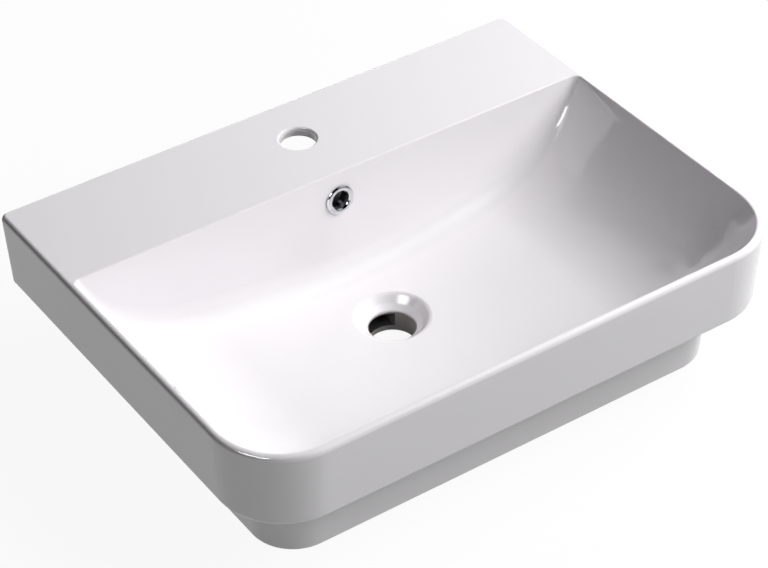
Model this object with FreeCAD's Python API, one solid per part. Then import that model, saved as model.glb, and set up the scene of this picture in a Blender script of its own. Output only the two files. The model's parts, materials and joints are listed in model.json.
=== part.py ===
import FreeCAD, Part
import math
import os

# A washbasin for a worktop or a wall: one ceramic casting with a tap deck at the back, a wide bowl
# and a stepped base, and a trim ring that clips into its overflow hole.
# Millimetres. The origin is the middle of the footprint, on the surface that the basin stands on.
# X runs along the front, Y from the front towards the wall, Z up.

# Outside of the casting
width = 600.0
depth = 457.5
band_height = 81.5              # upper band, from the step to the top of the rim
front_corner_radius = 72.5
back_corner_radius = 8.0
band_draft = 4.3                # how far the band's lower edge stands in from the rim
base_inset_side = 36.3          # ledge under the band, at each side
base_inset_front = 35.3         # ledge under the band, at the front
ledge_back_flat = 2.0           # flat part of the ledge at the wall
base_corner_radius = 45.0
base_back_radius = 12.0
base_draft = 4.0                # how far the foot stands in from the step
step_edge_round = 3.0           # lower edge of the band
step_cove_radius = 5.0          # inner corner under the ledge
foot_round = 2.5

# Walls of the casting
casting_wall = 10.0
deck_thickness = 10.0
ledge_thickness = 10.0
hollow_corner_radius = 4.0      # least corner radius of the hollow underneath

# Rim
rim_outer_round = 5.0
rim_flat = 0.3
mouth_round = 1.5               # inner edge of the rim, and the ridge of the deck

# Bowl
bowl_depth = 119.5              # rim to the lowest line of the floor
deck_depth = 131.7              # from the wall to the ridge in front of the tap
side_lean_share = 0.5           # how far a side wall comes in at the rim, as a share of its fall
front_lean_share = 0.587
back_lean_share = 0.081
floor_fall_share = 0.142        # fall of the floor from either side towards the middle
trough_radius = 640.0           # rounds the line where the two slopes meet
scoop_radius = 165.0            # floor into the side walls
front_cove_radius = 80.0        # floor and side walls into the front wall
back_cove_radius = 28.0         # floor into the back wall
back_mouth_radius = 8.0         # side walls into the back wall at the rim, widening to the cove below

# Tap hole
tap_hole_radius = 18.5
tap_hole_share = 0.468          # where its middle lies, from the wall to the ridge
tap_hole_round = 2.5

# Waste hole
waste_hole_radius = 24.0
waste_margin = 17.0             # plain floor between its dish and the cove at the back
waste_front_margin = 3.0        # least plain floor between its dish and the cove at the front
seat_width = 6.0                # sloping seat for the flange of a waste fitting
seat_fall = 4.5
seat_round = 1.5
dish_run = 6.5                  # the dish round the seat, in plan
dish_drop = 7.5
dish_round = 5.0
boss_wall = 5.0                 # outside the dish
boss_clearance = 1.0            # underside of the boss above the ground

# Overflow hole and the water way behind it
overflow_hole_radius = 13.0
overflow_drop = 30.8            # from the rim to the hole's middle
channel_room = 2.5              # from the overflow hole to the sides and the top of the channel
channel_depth = 14.0
channel_wall = 6.0
outlet_height = 14.5            # the slot in the side of the waste hole
outlet_cover = 4.0              # from the slot up to the seat

# Back wall: two fixing holes, and the open space between them for the pipes and the tap's nut
fixing_spacing = 280.0
fixing_hole_radius = 8.0
fixing_share = 0.67             # where the holes' middle lies, from the rim down the band
fixing_margin = 32.0            # from a fixing hole to the open space
service_share = 0.34            # where the top of the open space lies, from the rim down the band
service_radius = 20.0

# Overflow trim
bezel_cover = 2.4               # how far the bezel reaches over the edge of the hole
bezel_height = 2.6
bezel_lip = 1.0                 # flat edge of the bezel where it meets the seal
bezel_throat = 1.6              # how far the face reaches in over the tube's bore
bezel_tube_wall = 0.8
bezel_tube_length = 5.0
seal_setback = 0.6              # from the bezel's edge in to the seal's
seal_thickness = 0.6
sleeve_wall = 0.6
sleeve_collar = 6.0             # unbroken part of the sleeve, behind the bezel
sleeve_reach = 2.0              # past the wall, into the water way
finger_count = 6
finger_gap = 3.2
trim_clearance = 0.3            # sleeve in its hole
nest_clearance = 0.1            # between the parts of the trim

# Cuts run this far past the faces that they open
overrun = 1.0
near = 0.001

# Places that follow from the sizes. The base is as tall as the drain under the bowl needs.
channel_floor_z = boss_clearance + channel_wall
outlet_top_z = channel_floor_z + outlet_height
seat_low_z = outlet_top_z + outlet_cover
seat_top_z = seat_low_z + seat_fall
floor_z = seat_top_z + dish_drop
height = floor_z + bowl_depth
base_height = height - band_height
ledge_top_z = base_height + ledge_thickness
deck_under_z = height - deck_thickness
front_y = -depth / 2
back_y = depth / 2
ridge_y = back_y - deck_depth
bowl_rise = front_cove_radius   # the bowl's space is made taller than the bowl
floor_angle = math.atan(floor_fall_share)
side_wall_angle = math.atan(1 / side_lean_share)
front_wall_angle = math.atan(1 / front_lean_share)
back_wall_angle = math.atan(1 / back_lean_share)
rim_width = rim_outer_round + rim_flat + mouth_round * math.tan(side_wall_angle / 2)
mouth_front_y = front_y + rim_width
mouth_half_width = width / 2 - rim_width
seat_radius = waste_hole_radius + seat_width
dish_radius = seat_radius + dish_run
boss_radius = dish_radius + boss_wall
tap_y = back_y - deck_depth * tap_hole_share
waste_y = ridge_y - bowl_depth * back_lean_share - back_cove_radius - waste_margin - dish_radius
front_foot_y = mouth_front_y + bowl_depth * front_lean_share
front_room = waste_y - dish_radius - dish_round - waste_front_margin - front_foot_y
front_cove = min(front_cove_radius, front_room / math.tan(front_wall_angle / 2))
base_inset_back = step_edge_round + step_cove_radius + ledge_back_flat
overflow_z = height - overflow_drop
overflow_y = ridge_y - overflow_drop * back_lean_share
channel_front_y = ridge_y + casting_wall / math.sin(back_wall_angle)
channel_back_y = channel_front_y + channel_depth
channel_half_width = overflow_hole_radius + channel_room
channel_top_z = overflow_z + channel_half_width
fixing_z = height - band_height * fixing_share
service_half_width = fixing_spacing / 2 - fixing_hole_radius - fixing_margin
sleeve_radius = overflow_hole_radius - trim_clearance
bezel_tube_radius = sleeve_radius - sleeve_wall - nest_clearance
bezel_bore_radius = bezel_tube_radius - bezel_tube_wall - bezel_throat
bezel_radius = overflow_hole_radius + bezel_cover
seal_radius = bezel_radius - seal_setback


def point(x, y, z):
    return FreeCAD.Vector(x, y, z)


def box(low, high):
    """A block from its lowest corner to its highest."""
    size = high - low
    return Part.makeBox(size.x, size.y, size.z, low)


def outline(half_width, front, back, front_radius, back_radius, level):
    """A level, four-sided outline with rounded corners, from the front right corner round."""
    corners = (
        (half_width - front_radius, front + front_radius, front_radius),
        (half_width - back_radius, back - back_radius, back_radius),
        (back_radius - half_width, back - back_radius, back_radius),
        (front_radius - half_width, front + front_radius, front_radius),
    )
    quarter = math.pi / 2
    arcs = []
    for turn, (x, y, radius) in enumerate(corners):
        circle = Part.Circle(point(x, y, level), point(0, 0, 1), radius)
        arcs.append(Part.ArcOfCircle(circle, (turn - 1) * quarter, turn * quarter))
    edges = []
    for arc, following in zip(arcs, arcs[1:] + arcs[:1]):
        edges.append(arc.toShape())
        edges.append(Part.makeLine(arc.EndPoint, following.StartPoint))
    return Part.Wire(edges)


def between(low, high):
    """The solid between two level outlines: flat sides, and corners that taper."""
    walls = [Part.Face(low), Part.Face(high)]
    for below, above in zip(low.Edges, high.Edges):
        wall = Part.makeRuledSurface(below, above)
        if isinstance(below.Curve, Part.Line):
            wall = Part.Face(Part.Wire(Part.sortEdges(wall.Edges)[0]))
        walls.append(wall)
    shell = Part.makeShell(walls)
    shell.sewShape()
    return Part.makeSolid(shell).removeSplitter()


def edges_at(solid, level):
    """The edges that lie in one level plane."""
    return [edge for edge in solid.Edges
            if abs(edge.BoundBox.ZMin - level) < near and abs(edge.BoundBox.ZMax - level) < near]


def edges_within(edges, half_width, front, back):
    """Those of the edges that a plan rectangle holds."""
    return [edge for edge in edges
            if edge.BoundBox.XMin > -half_width - near and edge.BoundBox.XMax < half_width + near
            and edge.BoundBox.YMin > front - near and edge.BoundBox.YMax < back + near]


def edges_between(solid, first, second):
    """The edges where a face that first picks meets a face that second picks."""
    one = [edge for face in solid.Faces if first(face) for edge in face.Edges]
    other = [edge for face in solid.Faces if second(face) for edge in face.Edges]
    return [edge for edge in one if any(edge.isSame(match) for match in other)]


def band_outline(level, inset):
    """The upper band at a level, or the hollow inside it. It is widest where the rim's rounding begins."""
    straight_height = band_height - rim_outer_round
    lean = band_draft * (base_height + straight_height - level) / straight_height + inset
    return outline(
        width / 2 - lean, front_y + lean, back_y - inset,
        max(front_corner_radius - lean, hollow_corner_radius),
        max(back_corner_radius - inset, hollow_corner_radius), level)


def base_outline(level, inset):
    """The base at a level, or the hollow inside it."""
    lean = band_draft + base_draft * (base_height - level) / base_height + inset
    return outline(
        width / 2 - base_inset_side - lean, front_y + base_inset_front + lean,
        back_y - base_inset_back - inset,
        max(base_corner_radius - inset, hollow_corner_radius),
        max(base_back_radius - inset, hollow_corner_radius), level)


def outside():
    """The casting's outer form: the band on its smaller base."""
    band = between(band_outline(base_height, 0), band_outline(height, 0))
    band = band.makeFillet(rim_outer_round, edges_at(band, height))
    band = band.makeFillet(step_edge_round, edges_at(band, base_height))
    base = between(base_outline(0, 0), base_outline(ledge_top_z, 0))
    base = base.makeFillet(foot_round, edges_at(base, 0))
    whole = band.fuse(base).removeSplitter()
    inner_corner = edges_within(
        edges_at(whole, base_height), width / 2 - band_draft - base_inset_side,
        front_y + band_draft + base_inset_front, back_y - base_inset_back)
    return whole.makeFillet(step_cove_radius, inner_corner)


def bowl_across(grow):
    """The bowl's section across the width, run from front to back: two slopes that meet in a rounded
    trough, and at each side a scoop that turns the slope up into the wall."""
    trough = trough_radius + grow
    slope = math.tan(floor_angle)
    middle_z = floor_z + trough_radius - trough / math.cos(floor_angle)
    half_width = mouth_half_width + grow / math.sin(side_wall_angle)
    foot_x = (half_width - side_lean_share * (height - middle_z)) / (1 - side_lean_share * slope)
    foot = point(foot_x, 0, middle_z + foot_x * slope)
    turn = side_wall_angle - floor_angle
    wall_length = (height - foot.z) / math.sin(side_wall_angle)
    radius = min(scoop_radius, wall_length / math.tan(turn / 2)) + grow
    reach = radius * math.tan(turn / 2)
    begin = foot - point(math.cos(floor_angle), 0, math.sin(floor_angle)) * reach
    end = foot + point(math.cos(side_wall_angle), 0, math.sin(side_wall_angle)) * reach
    centre = begin + point(-math.sin(floor_angle), 0, math.cos(floor_angle)) * radius
    halfway = floor_angle + turn / 2
    middle = centre + point(math.sin(halfway), 0, -math.cos(halfway)) * radius
    top = point(half_width + side_lean_share * bowl_rise, 0, height + bowl_rise)
    low = point(trough * math.sin(floor_angle), 0, floor_z + trough_radius - trough * math.cos(floor_angle))

    def mirrored(place):
        return point(-place.x, 0, place.z)

    edges = [
        Part.Arc(mirrored(low), point(0, 0, floor_z - grow), low).toShape(),
        Part.makeLine(low, begin),
        Part.Arc(begin, middle, end).toShape(),
        Part.makeLine(end, top),
        Part.makeLine(top, mirrored(top)),
        Part.makeLine(mirrored(top), mirrored(end)),
        Part.Arc(mirrored(end), mirrored(middle), mirrored(begin)).toShape(),
        Part.makeLine(mirrored(begin), mirrored(low)),
    ]
    section = Part.Face(Part.Wire(edges))
    section.translate(point(0, -depth, 0))
    return section.extrude(point(0, 2 * depth, 0))


def bowl_along(grow):
    """The bowl's section from front to back, run across the width: its two leaning end walls."""
    corners = []
    for drop in (-bowl_rise - overrun, bowl_depth + grow + overrun):
        front = mouth_front_y + drop * front_lean_share - grow / math.sin(front_wall_angle)
        back = ridge_y - drop * back_lean_share + grow / math.sin(back_wall_angle)
        corners.append((point(-width, front, height - drop), point(-width, back, height - drop)))
    (top_front, top_back), (low_front, low_back) = corners
    section = Part.Face(Part.makePolygon([top_front, top_back, low_back, low_front, top_front]))
    return section.extrude(point(2 * width, 0, 0))


def bowl_space(grow):
    """The open space of the bowl, moved out by grow. Its right half gets the coves and is mirrored."""
    space = bowl_across(grow).common(bowl_along(grow))
    half = space.common(box(point(0, -depth, 0), point(width, depth, height + bowl_rise + overrun)))

    def lean(face):
        u_low, u_high, v_low, v_high = face.ParameterRange
        return face.normalAt((u_low + u_high) / 2, (v_low + v_high) / 2).y

    def lining(face):
        return abs(lean(face)) < near and face.BoundBox.ZMin < height and face.BoundBox.XMax > near

    front_foot = edges_between(half, lambda face: lean(face) < -near, lining)
    half = half.makeFillet(front_cove + grow, front_foot)
    back_foot = edges_between(half, lambda face: lean(face) > near, lining)
    scoop_foot = [edge for edge in back_foot
                  if edge.BoundBox.XMin > near and isinstance(edge.Curve, Part.Ellipse)]
    half = half.makeFillet(back_mouth_radius + grow, back_cove_radius + grow, scoop_foot)
    return half.fuse(half.mirror(point(0, 0, 0), point(1, 0, 0))).removeSplitter()


def drain_space():
    """The dish round the waste hole, the seat in it and the hole itself."""
    slope = (dish_radius - seat_radius) / dish_drop
    top_z = floor_z + dish_drop
    profile = Part.makePolygon([
        point(0, 0, -overrun), point(waste_hole_radius, 0, -overrun),
        point(waste_hole_radius, 0, seat_low_z), point(seat_radius, 0, seat_top_z),
        point(dish_radius + slope * dish_drop, 0, top_z), point(0, 0, top_z), point(0, 0, -overrun)])
    space = Part.Face(profile).revolve(point(0, 0, 0), point(0, 0, 1))
    space = space.makeFillet(dish_round, edges_at(space, seat_top_z))
    space = space.makeFillet(seat_round, edges_at(space, seat_low_z))
    space.translate(point(0, waste_y, 0))
    return space


def water_way(grow):
    """The overflow's channel: down behind the bowl, then forward into the waste hole."""
    side = channel_half_width + grow
    floor = channel_floor_z - grow
    back = channel_back_y + grow
    shaft = box(point(-side, channel_front_y - grow, floor), point(side, back, channel_top_z + grow))
    tunnel = box(point(-side, waste_y, floor), point(side, back, outlet_top_z + grow))
    return shaft.fuse(tunnel).removeSplitter()


def service_space():
    """The gap in the back wall: open below, with rounded upper corners."""
    top_z = height - band_height * service_share
    front = back_y - base_inset_back - casting_wall - overrun
    gap = box(
        point(-service_half_width, front, -overrun), point(service_half_width, back_y + overrun, top_z))
    corners = [edge for edge in edges_at(gap, top_z) if edge.BoundBox.YLength > near]
    return gap.makeFillet(service_radius, corners)


def hollow():
    """The open space underneath, between the casting's walls."""
    base = between(base_outline(-overrun, casting_wall), base_outline(ledge_top_z + overrun, casting_wall))
    band = between(band_outline(ledge_top_z, casting_wall), band_outline(deck_under_z, casting_wall))
    boss = Part.makeCylinder(boss_radius, height, point(0, waste_y, boss_clearance))
    space = base.fuse(band)
    for kept in (bowl_space(casting_wall), boss, water_way(channel_wall)):
        space = space.cut(kept)
    return space


def trim_frame():
    """Where the trim sits: its own Z axis points out of the overflow hole, square to the bowl's wall."""
    out = point(0, -math.sin(back_wall_angle), math.cos(back_wall_angle))
    turn = FreeCAD.Rotation(point(0, 0, 1), out)
    return FreeCAD.Placement(point(0, overflow_y, overflow_z), turn)


def placed(solid):
    solid.Placement = trim_frame()
    return solid


def ring(inner, outer, low, high):
    """A plain ring about the Z axis."""
    tube = Part.makeCylinder(outer, high - low, point(0, 0, low))
    return tube.cut(Part.makeCylinder(inner, high - low, point(0, 0, low)))


def bowl_with_drain():
    """The bowl's space joined to the drain's, with the dish's edge rounded."""
    space = bowl_space(0).fuse(drain_space()).removeSplitter()
    reach = dish_radius + dish_round
    edge_of_dish = [edge for edge in edges_within(space.Edges, reach, waste_y - reach, waste_y + reach)
                    if edge.isClosed() and edge.BoundBox.ZMin > (floor_z + seat_top_z) / 2]
    return space.makeFillet(dish_round, edge_of_dish)


def basin_body():
    """The whole casting, with its holes."""
    body = outside().cut(bowl_with_drain())
    mouth = edges_within(edges_at(body, height), mouth_half_width, mouth_front_y, ridge_y)
    body = body.makeFillet(mouth_round, mouth)
    body = body.cut(hollow())
    body = body.cut(service_space())
    body = body.cut(water_way(0))
    body = body.cut(Part.makeCylinder(tap_hole_radius, height, point(0, tap_y, base_height)))
    tap_edge = edges_within(
        edges_at(body, height), tap_hole_radius, tap_y - tap_hole_radius, tap_y + tap_hole_radius)
    body = body.makeFillet(tap_hole_round, tap_edge)
    hole_length = channel_front_y - overflow_y + channel_depth / 2
    overflow_hole = Part.makeCylinder(overflow_hole_radius, hole_length + overrun, point(0, 0, -hole_length))
    body = body.cut(placed(overflow_hole))
    for side in (-1, 1):
        place = point(side * fixing_spacing / 2, back_y - casting_wall - overrun, fixing_z)
        hole = Part.makeCylinder(
            fixing_hole_radius, casting_wall + 2 * overrun, place, point(0, 1, 0))
        body = body.cut(hole)
    return body


def overflow_seal():
    """A flat rubber washer between the bezel and the bowl's wall."""
    return placed(ring(sleeve_radius + nest_clearance, seal_radius, 0, seal_thickness))


def overflow_bezel():
    """A chromed ring with a domed face, and a short tube that lines the hole's mouth."""
    inner = bezel_bore_radius
    tube = bezel_tube_radius
    bore = tube - bezel_tube_wall
    face_z = seal_thickness
    lip_z = face_z + bezel_lip
    crest_z = face_z + bezel_height
    crest = (inner + bezel_radius) / 2
    half = (bezel_radius - inner) / 2
    slant = half * math.sqrt(1 / 2)
    rise = (crest_z - lip_z) * math.sqrt(1 / 2)
    outer_dome = Part.Arc(
        point(bezel_radius, 0, lip_z), point(crest + slant, 0, lip_z + rise), point(crest, 0, crest_z))
    inner_dome = Part.Arc(
        point(crest, 0, crest_z), point(crest - slant, 0, lip_z + rise), point(inner, 0, lip_z))
    rest = Part.makePolygon([
        point(inner, 0, lip_z), point(inner, 0, face_z), point(bore, 0, face_z),
        point(bore, 0, -bezel_tube_length), point(tube, 0, -bezel_tube_length),
        point(tube, 0, face_z), point(bezel_radius, 0, face_z), point(bezel_radius, 0, lip_z)])
    profile = Part.Wire([outer_dome.toShape(), inner_dome.toShape()] + rest.Edges)
    return placed(Part.Face(profile).revolve(point(0, 0, 0), point(0, 0, 1)))


def overflow_sleeve():
    """A plastic sleeve behind the bezel, slit into sprung fingers that grip the hole."""
    tip = channel_front_y - overflow_y + sleeve_reach
    sleeve = ring(sleeve_radius - sleeve_wall, sleeve_radius, -tip, seal_thickness)
    slit_low = point(0, -finger_gap / 2, -tip - overrun)
    slit_high = point(sleeve_radius + overrun, finger_gap / 2, seal_thickness - sleeve_collar)
    for number in range(finger_count):
        slit = box(slit_low, slit_high)
        slit.rotate(point(0, 0, 0), point(0, 0, 1), 360 * number / finger_count)
        sleeve = sleeve.cut(slit)
    return placed(sleeve)


os.makedirs("parts", exist_ok=True)
for make in (basin_body, overflow_bezel, overflow_sleeve, overflow_seal):
    solid = make()
    solid.exportStep("parts/" + make.__name__ + ".step")
    print(make.__name__, "volume", round(solid.Volume), "valid", solid.isValid())
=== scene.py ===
# %% [markdown]
# # A glazed washbasin
# This lesson takes the measured solids of a ceramic washbasin and gives them their finishes: a wet-looking
# white glaze, a chromed overflow ring, a black sleeve and a rubber washer. A photographer's white sweep,
# lamps, panels to mirror and a camera complete it. The solids come first, because everything else is set
# against them.

# %% Load the solids
import json
import math
import bmesh
import bpy
from mathutils import Matrix, Vector


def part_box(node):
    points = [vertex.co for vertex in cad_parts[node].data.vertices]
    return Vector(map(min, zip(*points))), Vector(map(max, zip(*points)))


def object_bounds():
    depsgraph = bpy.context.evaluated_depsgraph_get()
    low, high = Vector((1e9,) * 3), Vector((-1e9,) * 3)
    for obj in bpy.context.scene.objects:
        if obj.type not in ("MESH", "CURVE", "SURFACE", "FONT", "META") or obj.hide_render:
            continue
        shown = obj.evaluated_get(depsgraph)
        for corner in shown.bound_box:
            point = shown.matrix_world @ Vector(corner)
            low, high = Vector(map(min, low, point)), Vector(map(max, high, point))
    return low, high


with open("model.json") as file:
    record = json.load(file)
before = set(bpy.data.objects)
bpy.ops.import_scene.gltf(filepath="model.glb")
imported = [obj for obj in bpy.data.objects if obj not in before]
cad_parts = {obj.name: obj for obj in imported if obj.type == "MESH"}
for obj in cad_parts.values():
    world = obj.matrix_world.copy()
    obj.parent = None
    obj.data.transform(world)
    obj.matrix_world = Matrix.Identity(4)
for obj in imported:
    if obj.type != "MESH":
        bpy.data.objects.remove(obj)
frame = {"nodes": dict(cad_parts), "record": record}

solid_low, solid_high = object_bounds()
basin_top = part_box("basin_body")[1].z
for name, node in frame["nodes"].items():
    print(name, "has", len(node.data.polygons), "faces")
print("the basin is", [round(length * 1000, 1) for length in solid_high - solid_low], "mm")

# %% [markdown]
# Finishes are node trees. A small class keeps them readable: it wraps one socket, so that sums on it
# add Math nodes, and one method makes every other node. The settings of a node are set before its sockets
# are filled, because a setting can change which sockets there are.

# %% A class for shader sums
class Flow:
    """A value, colour or vector on its way through a material."""

    def __init__(self, tree, socket=None):
        self.tree = tree
        self.socket = socket

    def node(self, kind, settings=None, sockets=None, out=0):
        """A new node: first its settings, then the values or links of its sockets."""
        made = self.tree.nodes.new(kind)
        for key, value in (settings or {}).items():
            setattr(made, key, value)
        for key, value in (sockets or {}).items():
            if isinstance(value, Flow):
                self.tree.links.new(value.socket, made.inputs[key])
            else:
                made.inputs[key].default_value = value
        return Flow(self.tree, made.outputs[out])

    def sum(self, operation, first, second):
        """A Math node."""
        return self.node("ShaderNodeMath", {"operation": operation}, {0: first, 1: second})

    def __add__(self, other):
        return self.sum("ADD", self, other)

    def __radd__(self, other):
        return self.sum("ADD", other, self)

    def __sub__(self, other):
        return self.sum("SUBTRACT", self, other)

    def __rsub__(self, other):
        return self.sum("SUBTRACT", other, self)

    def __mul__(self, other):
        return self.sum("MULTIPLY", self, other)

    def __rmul__(self, other):
        return self.sum("MULTIPLY", other, self)

    def squared(self):
        return self * self

    def either(self, other):
        """The stronger of two masks."""
        return self.sum("MAXIMUM", self, other)

    def between(self, low, high):
        """0 at low and before it, 1 at high and after it, with a soft start and stop."""
        settings = {"interpolation_type": "SMOOTHSTEP"}
        return self.node("ShaderNodeMapRange", settings, {0: self, 1: low, 2: high})

    def band(self, start, full, fade, end):
        """0 up to start, 1 from full to fade, and 0 again from end."""
        return self.between(start, full) * (1 - self.between(fade, end))

    def noise(self, size, detail=2.0):
        """Cloudy noise whose lumps are about as large as size, in metres."""
        sockets = {"Vector": self, "Scale": 1 / size, "Detail": detail}
        return self.node("ShaderNodeTexNoise", None, sockets)

    def colour(self, first, second):
        """The first colour where this value is 0, the second where it is 1."""
        settings = {"data_type": "RGBA"}
        return self.node("ShaderNodeMix", settings, {0: self, 6: first, 7: second}, 2)

    def split(self):
        """The three parts of a vector."""
        parts = self.node("ShaderNodeSeparateXYZ", None, {0: self}).socket.node.outputs
        return [Flow(self.tree, part) for part in parts]

    def feed(self, shader, socket):
        """Link this value to a socket of the shader."""
        self.tree.links.new(self.socket, shader.inputs[socket])

    def emboss(self, shader):
        """Give the shader this value as a height in metres."""
        self.node("ShaderNodeBump", None, {"Height": self, "Distance": 1.0}).feed(shader, "Normal")


def finish(name):
    """A new material, its shader, and the coordinates of the piece that wears it."""
    material = bpy.data.materials.new(name)
    material.use_nodes = True
    tree = material.node_tree
    place = Flow(tree).node("ShaderNodeTexCoord", None, None, "Object")
    return material, tree.nodes["Principled BSDF"], place


def wear(material, node):
    """Put a finish on a piece."""
    frame["nodes"][node].material_slots[0].material = material
    print(node, "wears", material.name)

# %% [markdown]
# The basin is vitreous china under a white glaze that shines like wet glass. A flat white with an even gloss
# would look like plastic, so the colour drifts a little between a cool and a warm white. Gloss is high on the
# side walls, and lower on level faces, on the wall below the tap and round the waste, where water dries and
# leaves a thin film of lime. The parts of the surface's normal tell these faces from the others, and the
# record knows where the waste is.

# %% Glaze: colour and gloss
glaze, glaze_shader, place = finish("glaze")
across, along, up = place.split()
cool_white, warm_white = (0.838, 0.818, 0.843, 1), (0.852, 0.832, 0.852, 1)
cloud_size = 0.16
white = place.noise(cloud_size, 3).colour(cool_white, warm_white)

facing, lift = place.node("ShaderNodeNewGeometry", None, None, "Normal").split()[1:]
level_from, level_full = 0.74, 0.9
level = lift.between(level_from, level_full)
upright_from, upright_full = 0.9, 0.98
wall_from, wall_full = 0.06, 0.08
splashed = (facing * -1).between(upright_from, upright_full) * along.between(wall_from, wall_full)

mounts = {mount["name"]: mount for mount in frame["record"]["mounts"]}
waste_y = mounts["waste_outlet"]["pos_m"][1]
lime_radius, lime_end = 0.04, 0.05
from_waste = across.squared() + (along - waste_y).squared()
limed = 1 - from_waste.between(lime_radius ** 2, lime_end ** 2)

film = splashed.either(limed).either(level)
clean_gloss = 0.02 + 0.02 * place.noise(0.03, 3)
film_gloss = 0.17 + 0.05 * place.noise(0.02, 3)
glaze_gloss = clean_gloss + film * film_gloss
print("glaze roughness from 0.02 on clean walls to 0.26 under the film")

# %% [markdown]
# Glaze flows while it is molten. It sets with slow waves and a fine orange peel everywhere, and it runs in
# thick curtains down the bowl's side walls, so the back wall's image in them has a wavy edge. In the front
# corner the curtains meet and crinkle. A Bump node can draw all of this from heights in metres. The curtains
# are masked by place, with long soft edges, because a mask that ends quickly would itself make a step.

# %% Glaze: waves, curtains and crinkle
side = across.squared()
rim_width = 0.007
rim_x = solid_high.x - rim_width
in_from_rim = (0.13, 0.05, 0.02, 0)
side_walls = [(rim_x - inward) ** 2 for inward in in_from_rim]
front_to_back = (-0.22, -0.2, 0.08, 0.1)
floor_top, wall_foot = 0.066, 0.09
curtains = side.band(*side_walls) * along.band(*front_to_back) * up.between(floor_top, wall_foot)

corner = (0.27, -0.145, 0.115)
crinkle_radius, crinkle_end = 0.02, 0.07
from_corner = place.node("ShaderNodeVectorMath", {"operation": "DISTANCE"}, {0: place, 1: corner}, 1)
crinkled = 1 - from_corner.between(crinkle_radius, crinkle_end)

wave_size, peel_size, crinkle_size = 0.04, 0.005, 0.009
wave_height, curtain_height, peel_height, crinkle_height = 0.0003, 0.003, 0.000006, 0.0003
waves = (place.noise(wave_size, 1) - 0.5) * (wave_height + curtain_height * curtains)
peel = place.noise(peel_size, 2) * peel_height
crinkle = (place.noise(crinkle_size, 2) - 0.5) * crinkled * crinkle_height
glaze_height = waves + peel + crinkle
print("waves, peel and crinkles of", [wave_size, peel_size, crinkle_size], "m in the glaze")

# %% [markdown]
# A basin is fired standing on its foot, and its back is ground flat for the wall, so glaze is wiped off both
# and the bare body shows: matt, creamy and slightly grainy. Their places are known, z = 0 and the greatest y,
# so two soft steps on the coordinates pick them out, with noise to make their edge wander as a sponge would.
# Faces that look down get a thinner coat from the spray gun, so they are a little duller and warmer.

# %% Glaze: bare foot and back
wander = place.noise(0.012, 3) - 0.5
wiped_edge = wander * 0.0012
foot_low, foot_high = 0.0008, 0.0014
foot = 1 - (up + wiped_edge).between(foot_low, foot_high)
back_low, back_high = solid_high.y - 0.0012, solid_high.y - 0.0006
back = (along + wiped_edge).between(back_low, back_high)
bare = foot.either(back)
under_from, under_full = 0.3, 0.8
thin = (lift * -1).between(under_from, under_full) * (1 - bare)
print("bare below 1 mm and behind y =", round(solid_high.y - 0.001, 4))

# %% [markdown]
# Glaze is poured and sprayed from above, so it thins out inside the holes and stops at a ragged line. Below
# it the walls are dull, and their colour is darkened as painted shade, less in the tap hole than in the waste
# hole. The overflow's passage, which opens into the waste hole, is given a nearly black painted shade. Each
# hole's middle, radius and length are in the record, so a mask can follow its wall: the square of the distance
# from the hole's axis is enough, and saves a root.

# %% Glaze: painted shade in the holes
glaze_edge = wander * 0.003


def bore(name, cover):
    """1 on the wall of a hole, below its top part, cover metres high, where the glaze reaches; there the hole
    gets painted shade.
    """
    x, y, z = mounts[name]["pos_m"]
    radius = mounts[name]["dims"]["r_mm"] / 1000
    line = z + mounts[name]["dims"]["length_mm"] / 2000 - cover
    away = (across - x).squared() + (along - y).squared()
    near_axis = 1 - away.between((radius + 0.0002) ** 2, (radius + 0.0007) ** 2)
    return near_axis * (1 - (up + glaze_edge).between(line - 0.001, line + 0.0005))


# the overflow passage inside the waste hole: a band whose walls get a nearly black painted shade
passage_half, passage_low, passage_high, passage_start = 0.0156, 0.0067, 0.0217, 0.0165
passage = up.band(passage_low, passage_low + 0.0002, passage_high, passage_high + 0.0003)
passage = passage * (1 - side.between(passage_half ** 2, (passage_half + 0.0003) ** 2))
passage = passage * (along - waste_y).between(passage_start, passage_start + 0.0005)
# painted shade in the holes: the waste hole's wall is darkened fully, the tap hole's by this share
tap_shade_share = 0.45
shade_painted = bore("waste_outlet", 0.001).either(bore("tap_hole", 0.002) * tap_shade_share)
print("waste hole and tap hole are stained, and the passage is dark")

# %% [markdown]
# Now the layers are joined: the white, the thin coat over it, the bare body, the painted shade in the holes
# and the passage's nearly black painted shade. One roughness follows the same masks, so what is bare is also
# matt, and the relief of the waves and the grain of the body go to the normal as one height.

# %% Glaze: join the layers
grain = place.noise(0.0009, 3)
bisque = grain.colour((0.66, 0.63, 0.57, 1), (0.78, 0.75, 0.69, 1))
# the grainy dark colour of the painted shade on the hole walls
hole_shade = grain.colour((0.22, 0.21, 0.20, 1), (0.36, 0.34, 0.32, 1))
# dark is the nearly black painted shade of the passage
thin_white, dark = (0.74, 0.72, 0.68, 1), (0.03, 0.03, 0.03, 1)
coated = (thin * 0.5).colour(white, thin_white)
cast = bare.colour(coated, bisque)
holed = shade_painted.colour(cast, hole_shade)
passage.colour(holed, dark).feed(glaze_shader, "Base Color")

matt = bare.either(shade_painted).either(passage)
matt_gain, thin_gain = 0.6, 0.22
(glaze_gloss + matt * matt_gain + thin * thin_gain).feed(glaze_shader, "Roughness")
grain_height = 0.00005
(glaze_height + matt * grain * grain_height).emboss(glaze_shader)
glaze_shader.inputs["IOR"].default_value = 1.8
wear(glaze, "basin_body")

# %% [markdown]
# The overflow ring is plated: copper and nickel under a skin of chrome, bright and faintly blue. Plating
# is almost a mirror, so its looks come from what it reflects. What tells it from a perfect mirror are dried
# water marks and faint polishing haze, which belong in the roughness.

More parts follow.
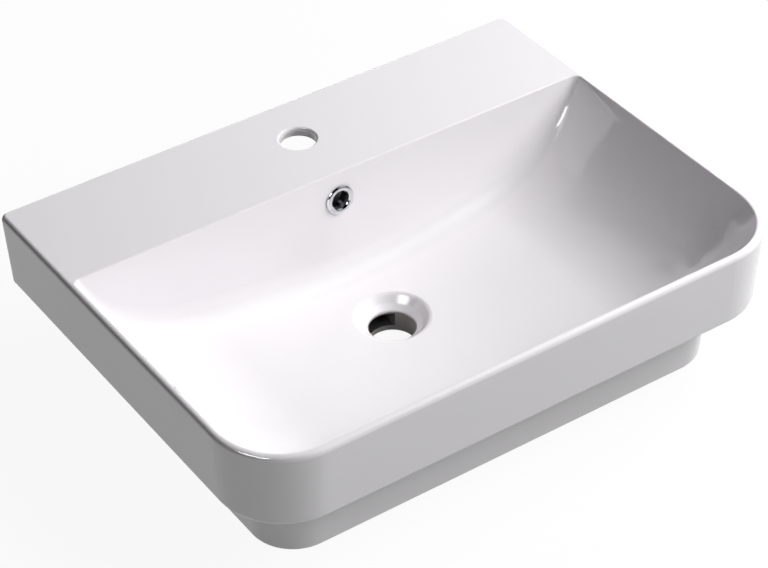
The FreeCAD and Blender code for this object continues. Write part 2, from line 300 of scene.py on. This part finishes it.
# %% Chrome
chrome, chrome_shader, place = finish("chrome")
marks = place.noise(0.004, 3).between(0.5, 0.68)
haze = place.noise(0.0012, 2)
haze_height = 0.000004
marks.colour((0.80, 0.81, 0.83, 1), (0.72, 0.73, 0.74, 1)).feed(chrome_shader, "Base Color")
(0.06 + 0.05 * haze + 0.12 * marks).feed(chrome_shader, "Roughness")
(haze * haze_height).emboss(chrome_shader)
chrome_shader.inputs["Metallic"].default_value = 1.0
wear(chrome, "overflow_bezel")

# %% [markdown]
# Behind the ring sits a moulded sleeve with sprung fingers, in black plastic. A spark-eroded mould leaves a
# fine even grain on such parts, with paler rubbed patches. Fine noise in the bump makes the grain and
# a coarser noise the rubbing.

# %% Sleeve plastic
plastic, plastic_shader, place = finish("sleeve_plastic")
spark = place.noise(0.0004, 2)
spark_height = 0.00001
rub = place.noise(0.006, 3).between(0.45, 0.75)
rub.colour((0.006, 0.006, 0.007, 1), (0.02, 0.02, 0.021, 1)).feed(plastic_shader, "Base Color")
(0.42 + 0.14 * spark + 0.08 * rub).feed(plastic_shader, "Roughness")
(spark * spark_height).emboss(plastic_shader)
wear(plastic, "overflow_sleeve")

# %% [markdown]
# The washer under the ring is cut from rubber sheet. Rubber is dull and blooms: a grey dust of wax comes to
# its surface in patches. One noise mixes the two greys and lifts the roughness where the bloom is.

# %% Washer rubber
rubber, rubber_shader, place = finish("seal_rubber")
bloom = place.noise(0.003, 4).between(0.4, 0.7)
pore_height = 0.00002
bloom.colour((0.028, 0.028, 0.028, 1), (0.075, 0.074, 0.072, 1)).feed(rubber_shader, "Base Color")
(0.6 + 0.25 * bloom).feed(rubber_shader, "Roughness")
(place.noise(0.0005) * pore_height).emboss(rubber_shader)
wear(rubber, "overflow_seal")

# %% [markdown]
# The photograph has a pure white surround, yet the basin's outer walls lie in shade, so little light came up
# from below. The floor is therefore a white of strength 1 to the eye and to reflections, and a dark card to
# the light that bounces. A share of it stays plain white paint to the eye, so that the basin keeps its shadow.

# %% White floor
sheet = bpy.data.meshes.new("floor")
shape = bmesh.new()
bmesh.ops.create_grid(shape, x_segments=1, y_segments=1, size=6.0)
shape.to_mesh(sheet)
shape.free()
floor = bpy.data.objects.new("floor", sheet)
bpy.context.scene.collection.objects.link(floor)

paper = bpy.data.materials.new("paper")
paper.use_nodes = True
tree = paper.node_tree
card = tree.nodes["Principled BSDF"]
card.inputs["Roughness"].default_value = 0.9
rays = Flow(tree).node("ShaderNodeLightPath").socket.node.outputs
seen = Flow(tree, rays["Is Camera Ray"])
for kind in ("Is Glossy Ray", "Is Transmission Ray"):
    seen = seen.either(Flow(tree, rays[kind]))
dark_card, white_paint = (0.15, 0.15, 0.15, 1), (0.9, 0.9, 0.9, 1)
seen.colour(dark_card, white_paint).feed(card, "Base Color")
glow = seen.node("ShaderNodeEmission", None, {"Color": (1, 1, 1, 1), "Strength": 1.0})
glow_share = seen * 0.92
mixed = seen.node("ShaderNodeMixShader", None, {0: glow_share, 1: Flow(tree, card.outputs[0]), 2: glow})
mixed.feed(tree.nodes["Material Output"], "Surface")
sheet.materials.append(paper)
print("floor of", floor.dimensions.x, "m")

# %% [markdown]
# Glazed ware is lit with big soft lamps, because it mirrors them. In the photograph the bowl's right wall and
# the left side lie in shade and the left wall of the bowl is brightest, so the main lamp stands at the right
# and in front, and a small one at the left fills the shade. Neither is mirrored in the photograph's glaze, so
# both are kept out of reflections. The lamp at the back lifts the deck, which does mirror it. Three panels
# show only in reflections: one lays a faint sheen in the bowl, one is the glint in its back corner and one
# draws the bright line along the rim. A lamp's place is easiest to give as a bearing and a height angle,
# seen from the basin.

# %% Lamps
target = Vector((0, 0, 0.1))
lamp_distance = 2.4


def lamp(name, bearing, rise, width, height, watts):
    """A soft panel lamp. Bearing 0 is in front, 90 at the right."""
    light = bpy.data.lights.new(name, "AREA")
    light.shape = "RECTANGLE"
    light.size = width
    light.size_y = height
    light.energy = watts
    turn, tilt = math.radians(bearing), math.radians(rise)
    out = Vector((math.sin(turn) * math.cos(tilt), -math.cos(turn) * math.cos(tilt), math.sin(tilt)))
    placed = bpy.data.objects.new(name, light)
    placed.location = target + out * lamp_distance
    placed.rotation_euler = out.to_track_quat("Z", "Y").to_euler()
    bpy.context.scene.collection.objects.link(placed)
    print(name, watts, "W at", [round(value, 2) for value in placed.location])
    return placed


lamp("main_lamp", 65, 42, 2.6, 1.6, 92).visible_glossy = False
lamp("front_lamp", 326, 20, 1.6, 1.0, 8.5).visible_glossy = False
lamp("back_lamp", 152, 37, 2.8, 2.2, 11)
lamp("sheen_panel", 62, 42, 2.6, 1.8, 8).visible_diffuse = False
lamp("glint_panel", 286, 39, 1.2, 0.8, 26).visible_diffuse = False
lamp("edge_panel", 150, 13, 2.4, 0.5, 8).visible_diffuse = False

world = bpy.data.worlds.new("studio")
bpy.context.scene.world = world
world.use_nodes = True
room_light = 0.02
world.node_tree.nodes["Background"].inputs["Strength"].default_value = room_light

# %% [markdown]
# The camera stands where the photographer stood. Its place and its three axes were found by matching the
# corners, the rim and the holes of the basin to the photograph, and the lens by how fast its edges
# draw together. A long lens from over two metres away keeps the basin's lines nearly parallel.

# %% Camera
photo_width = 768
focal_pixels = 2574.77
camera_right = Vector((0.822804, -0.568224, -0.010719))
camera_up = Vector((0.360793, 0.507680, 0.782362))
camera_back = Vector((-0.439115, -0.647598, 0.622732))
camera_place = Vector((-1.097196, -1.598776, 1.468127 + basin_top))
view = bpy.data.cameras.new("view")
view.sensor_fit = "HORIZONTAL"
view.sensor_width = 36
view.lens = focal_pixels / photo_width * view.sensor_width
camera = bpy.data.objects.new("view", view)
turned = Matrix((camera_right, camera_up, camera_back)).transposed().to_4x4()
camera.matrix_world = Matrix.Translation(camera_place) @ turned
bpy.context.scene.collection.objects.link(camera)
bpy.context.scene.camera = camera
bpy.context.scene.view_settings.view_transform = "Standard"
print("lens", round(view.lens, 1), "mm")
